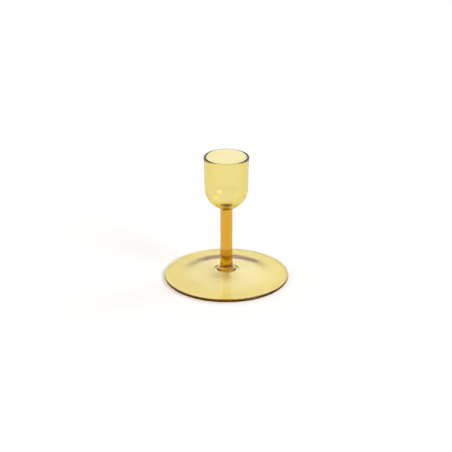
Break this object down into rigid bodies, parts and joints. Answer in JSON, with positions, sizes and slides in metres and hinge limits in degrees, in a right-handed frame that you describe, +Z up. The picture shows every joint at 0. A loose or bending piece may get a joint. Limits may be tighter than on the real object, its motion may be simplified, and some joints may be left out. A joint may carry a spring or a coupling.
{
  "type": "glass candlestick",
  "caption": "Low amber glass candlestick: a round-bottomed cup for a taper candle on a short solid rod, fused to a thin raised disc foot.",
  "frame": {"origin": "on the table, under the middle of the foot", "axes": "+Z up along the rod, which is the axis of revolution of every piece; X and Y are interchangeable"},
  "size_m": [0.076, 0.076, 0.0785],
  "materials": {
    "thin_glass": "clear amber glass, fire polished, pale yellow where it is thin",
    "rod_glass": "clear amber glass of the solid rod and the weld beads, deeper in colour than the thin glass"
  },
  "bodies": {
    "root": {"foot": "thin_glass", "foot_weld": "rod_glass", "stem": "rod_glass", "cup_weld": "rod_glass", "candle_cup": "thin_glass"}
  },
  "joints": []
}
